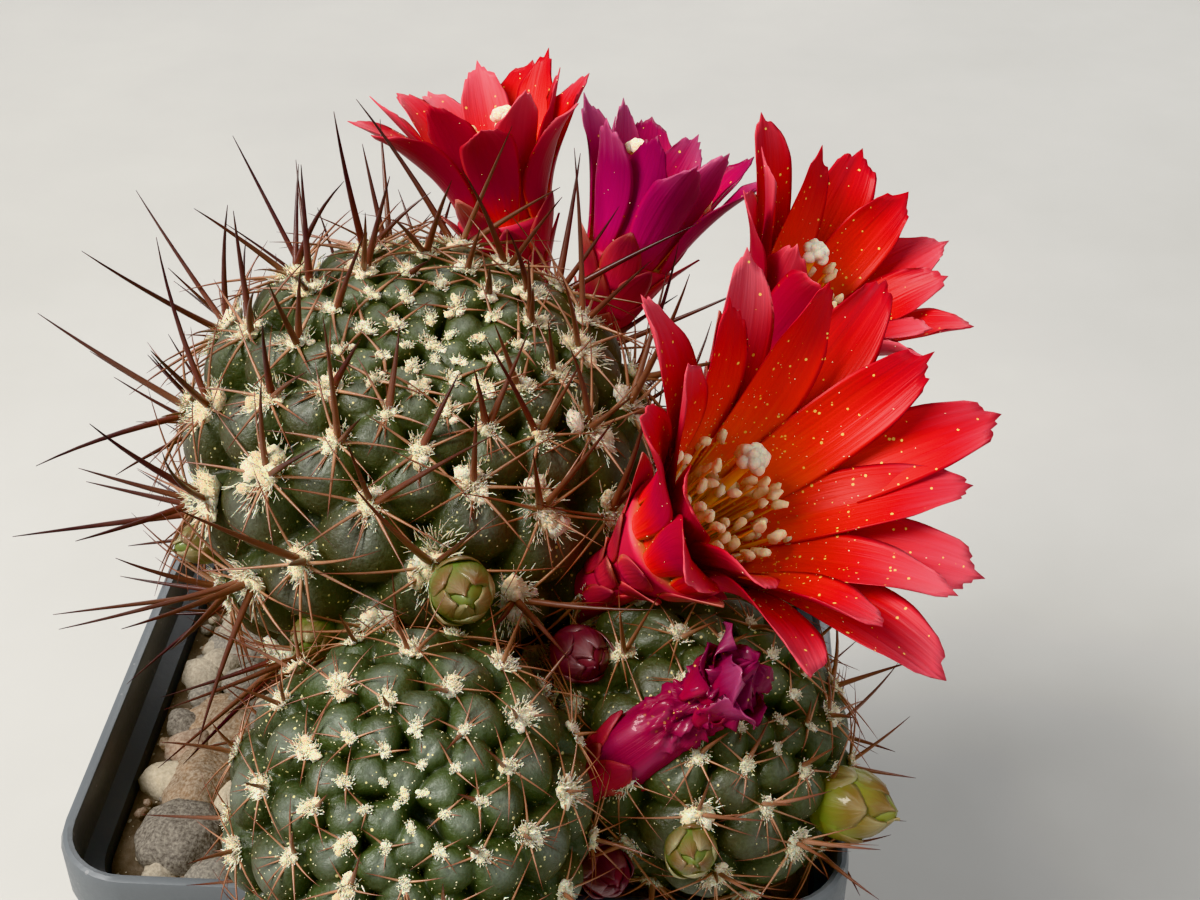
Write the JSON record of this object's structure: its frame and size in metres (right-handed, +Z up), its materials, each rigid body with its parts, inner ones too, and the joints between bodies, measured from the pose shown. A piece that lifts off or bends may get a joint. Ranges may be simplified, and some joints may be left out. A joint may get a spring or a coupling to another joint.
{
  "type": "potted flowering cactus",
  "caption": "Small clump of spiny, tubercled cactus heads with red funnel flowers and buds, growing in gravel in a square plastic pot.",
  "frame": {"origin": "centre of the pot's flat underside", "axes": "+Z up; -Y is the side towards the viewer of the picture, +X its right; the pot's sides are square to X and Y"},
  "size_m": [0.1119, 0.124, 0.1521],
  "materials": {
    "pot_plastic": "grey, slightly clear moulded plastic, satin, dusty at the rim",
    "gravel": "dry mineral grit and rounded pebbles in grey, beige and brown",
    "cactus_skin": "dark green waxy skin, cream wool on the areoles, red-brown to tan spines",
    "petal_red": "crimson petals, orange towards the throat, pink sheen near the tips",
    "petal_magenta": "magenta outer faces of petals with orange scales below",
    "stamen_yellow": "cream anthers on orange-yellow filaments",
    "bud_green": "smooth green scales with brown edges",
    "bud_red": "dull reddish brown scales, dry at the tip"
  },
  "bodies": {
    "root": {"pot": "pot_plastic", "soil": "gravel", "head_main": "cactus_skin", "head_front": "cactus_skin", "head_right": "cactus_skin", "flower_front": "petal_red", "flower_back": "petal_red", "flower_left": "petal_red", "flower_middle": "petal_magenta", "flower_spent": "petal_magenta", "stamens_front": "stamen_yellow", "stamens_back": "stamen_yellow", "stamens_middle": "stamen_yellow", "stamens_left": "stamen_yellow", "bud_green_upper": "bud_green", "bud_green_left": "bud_green", "bud_green_side": "bud_green", "bud_yellow_right": "bud_green", "bud_green_lower": "bud_green", "bud_red_middle": "bud_red", "bud_red_lower": "bud_red"}
  },
  "joints": []
}
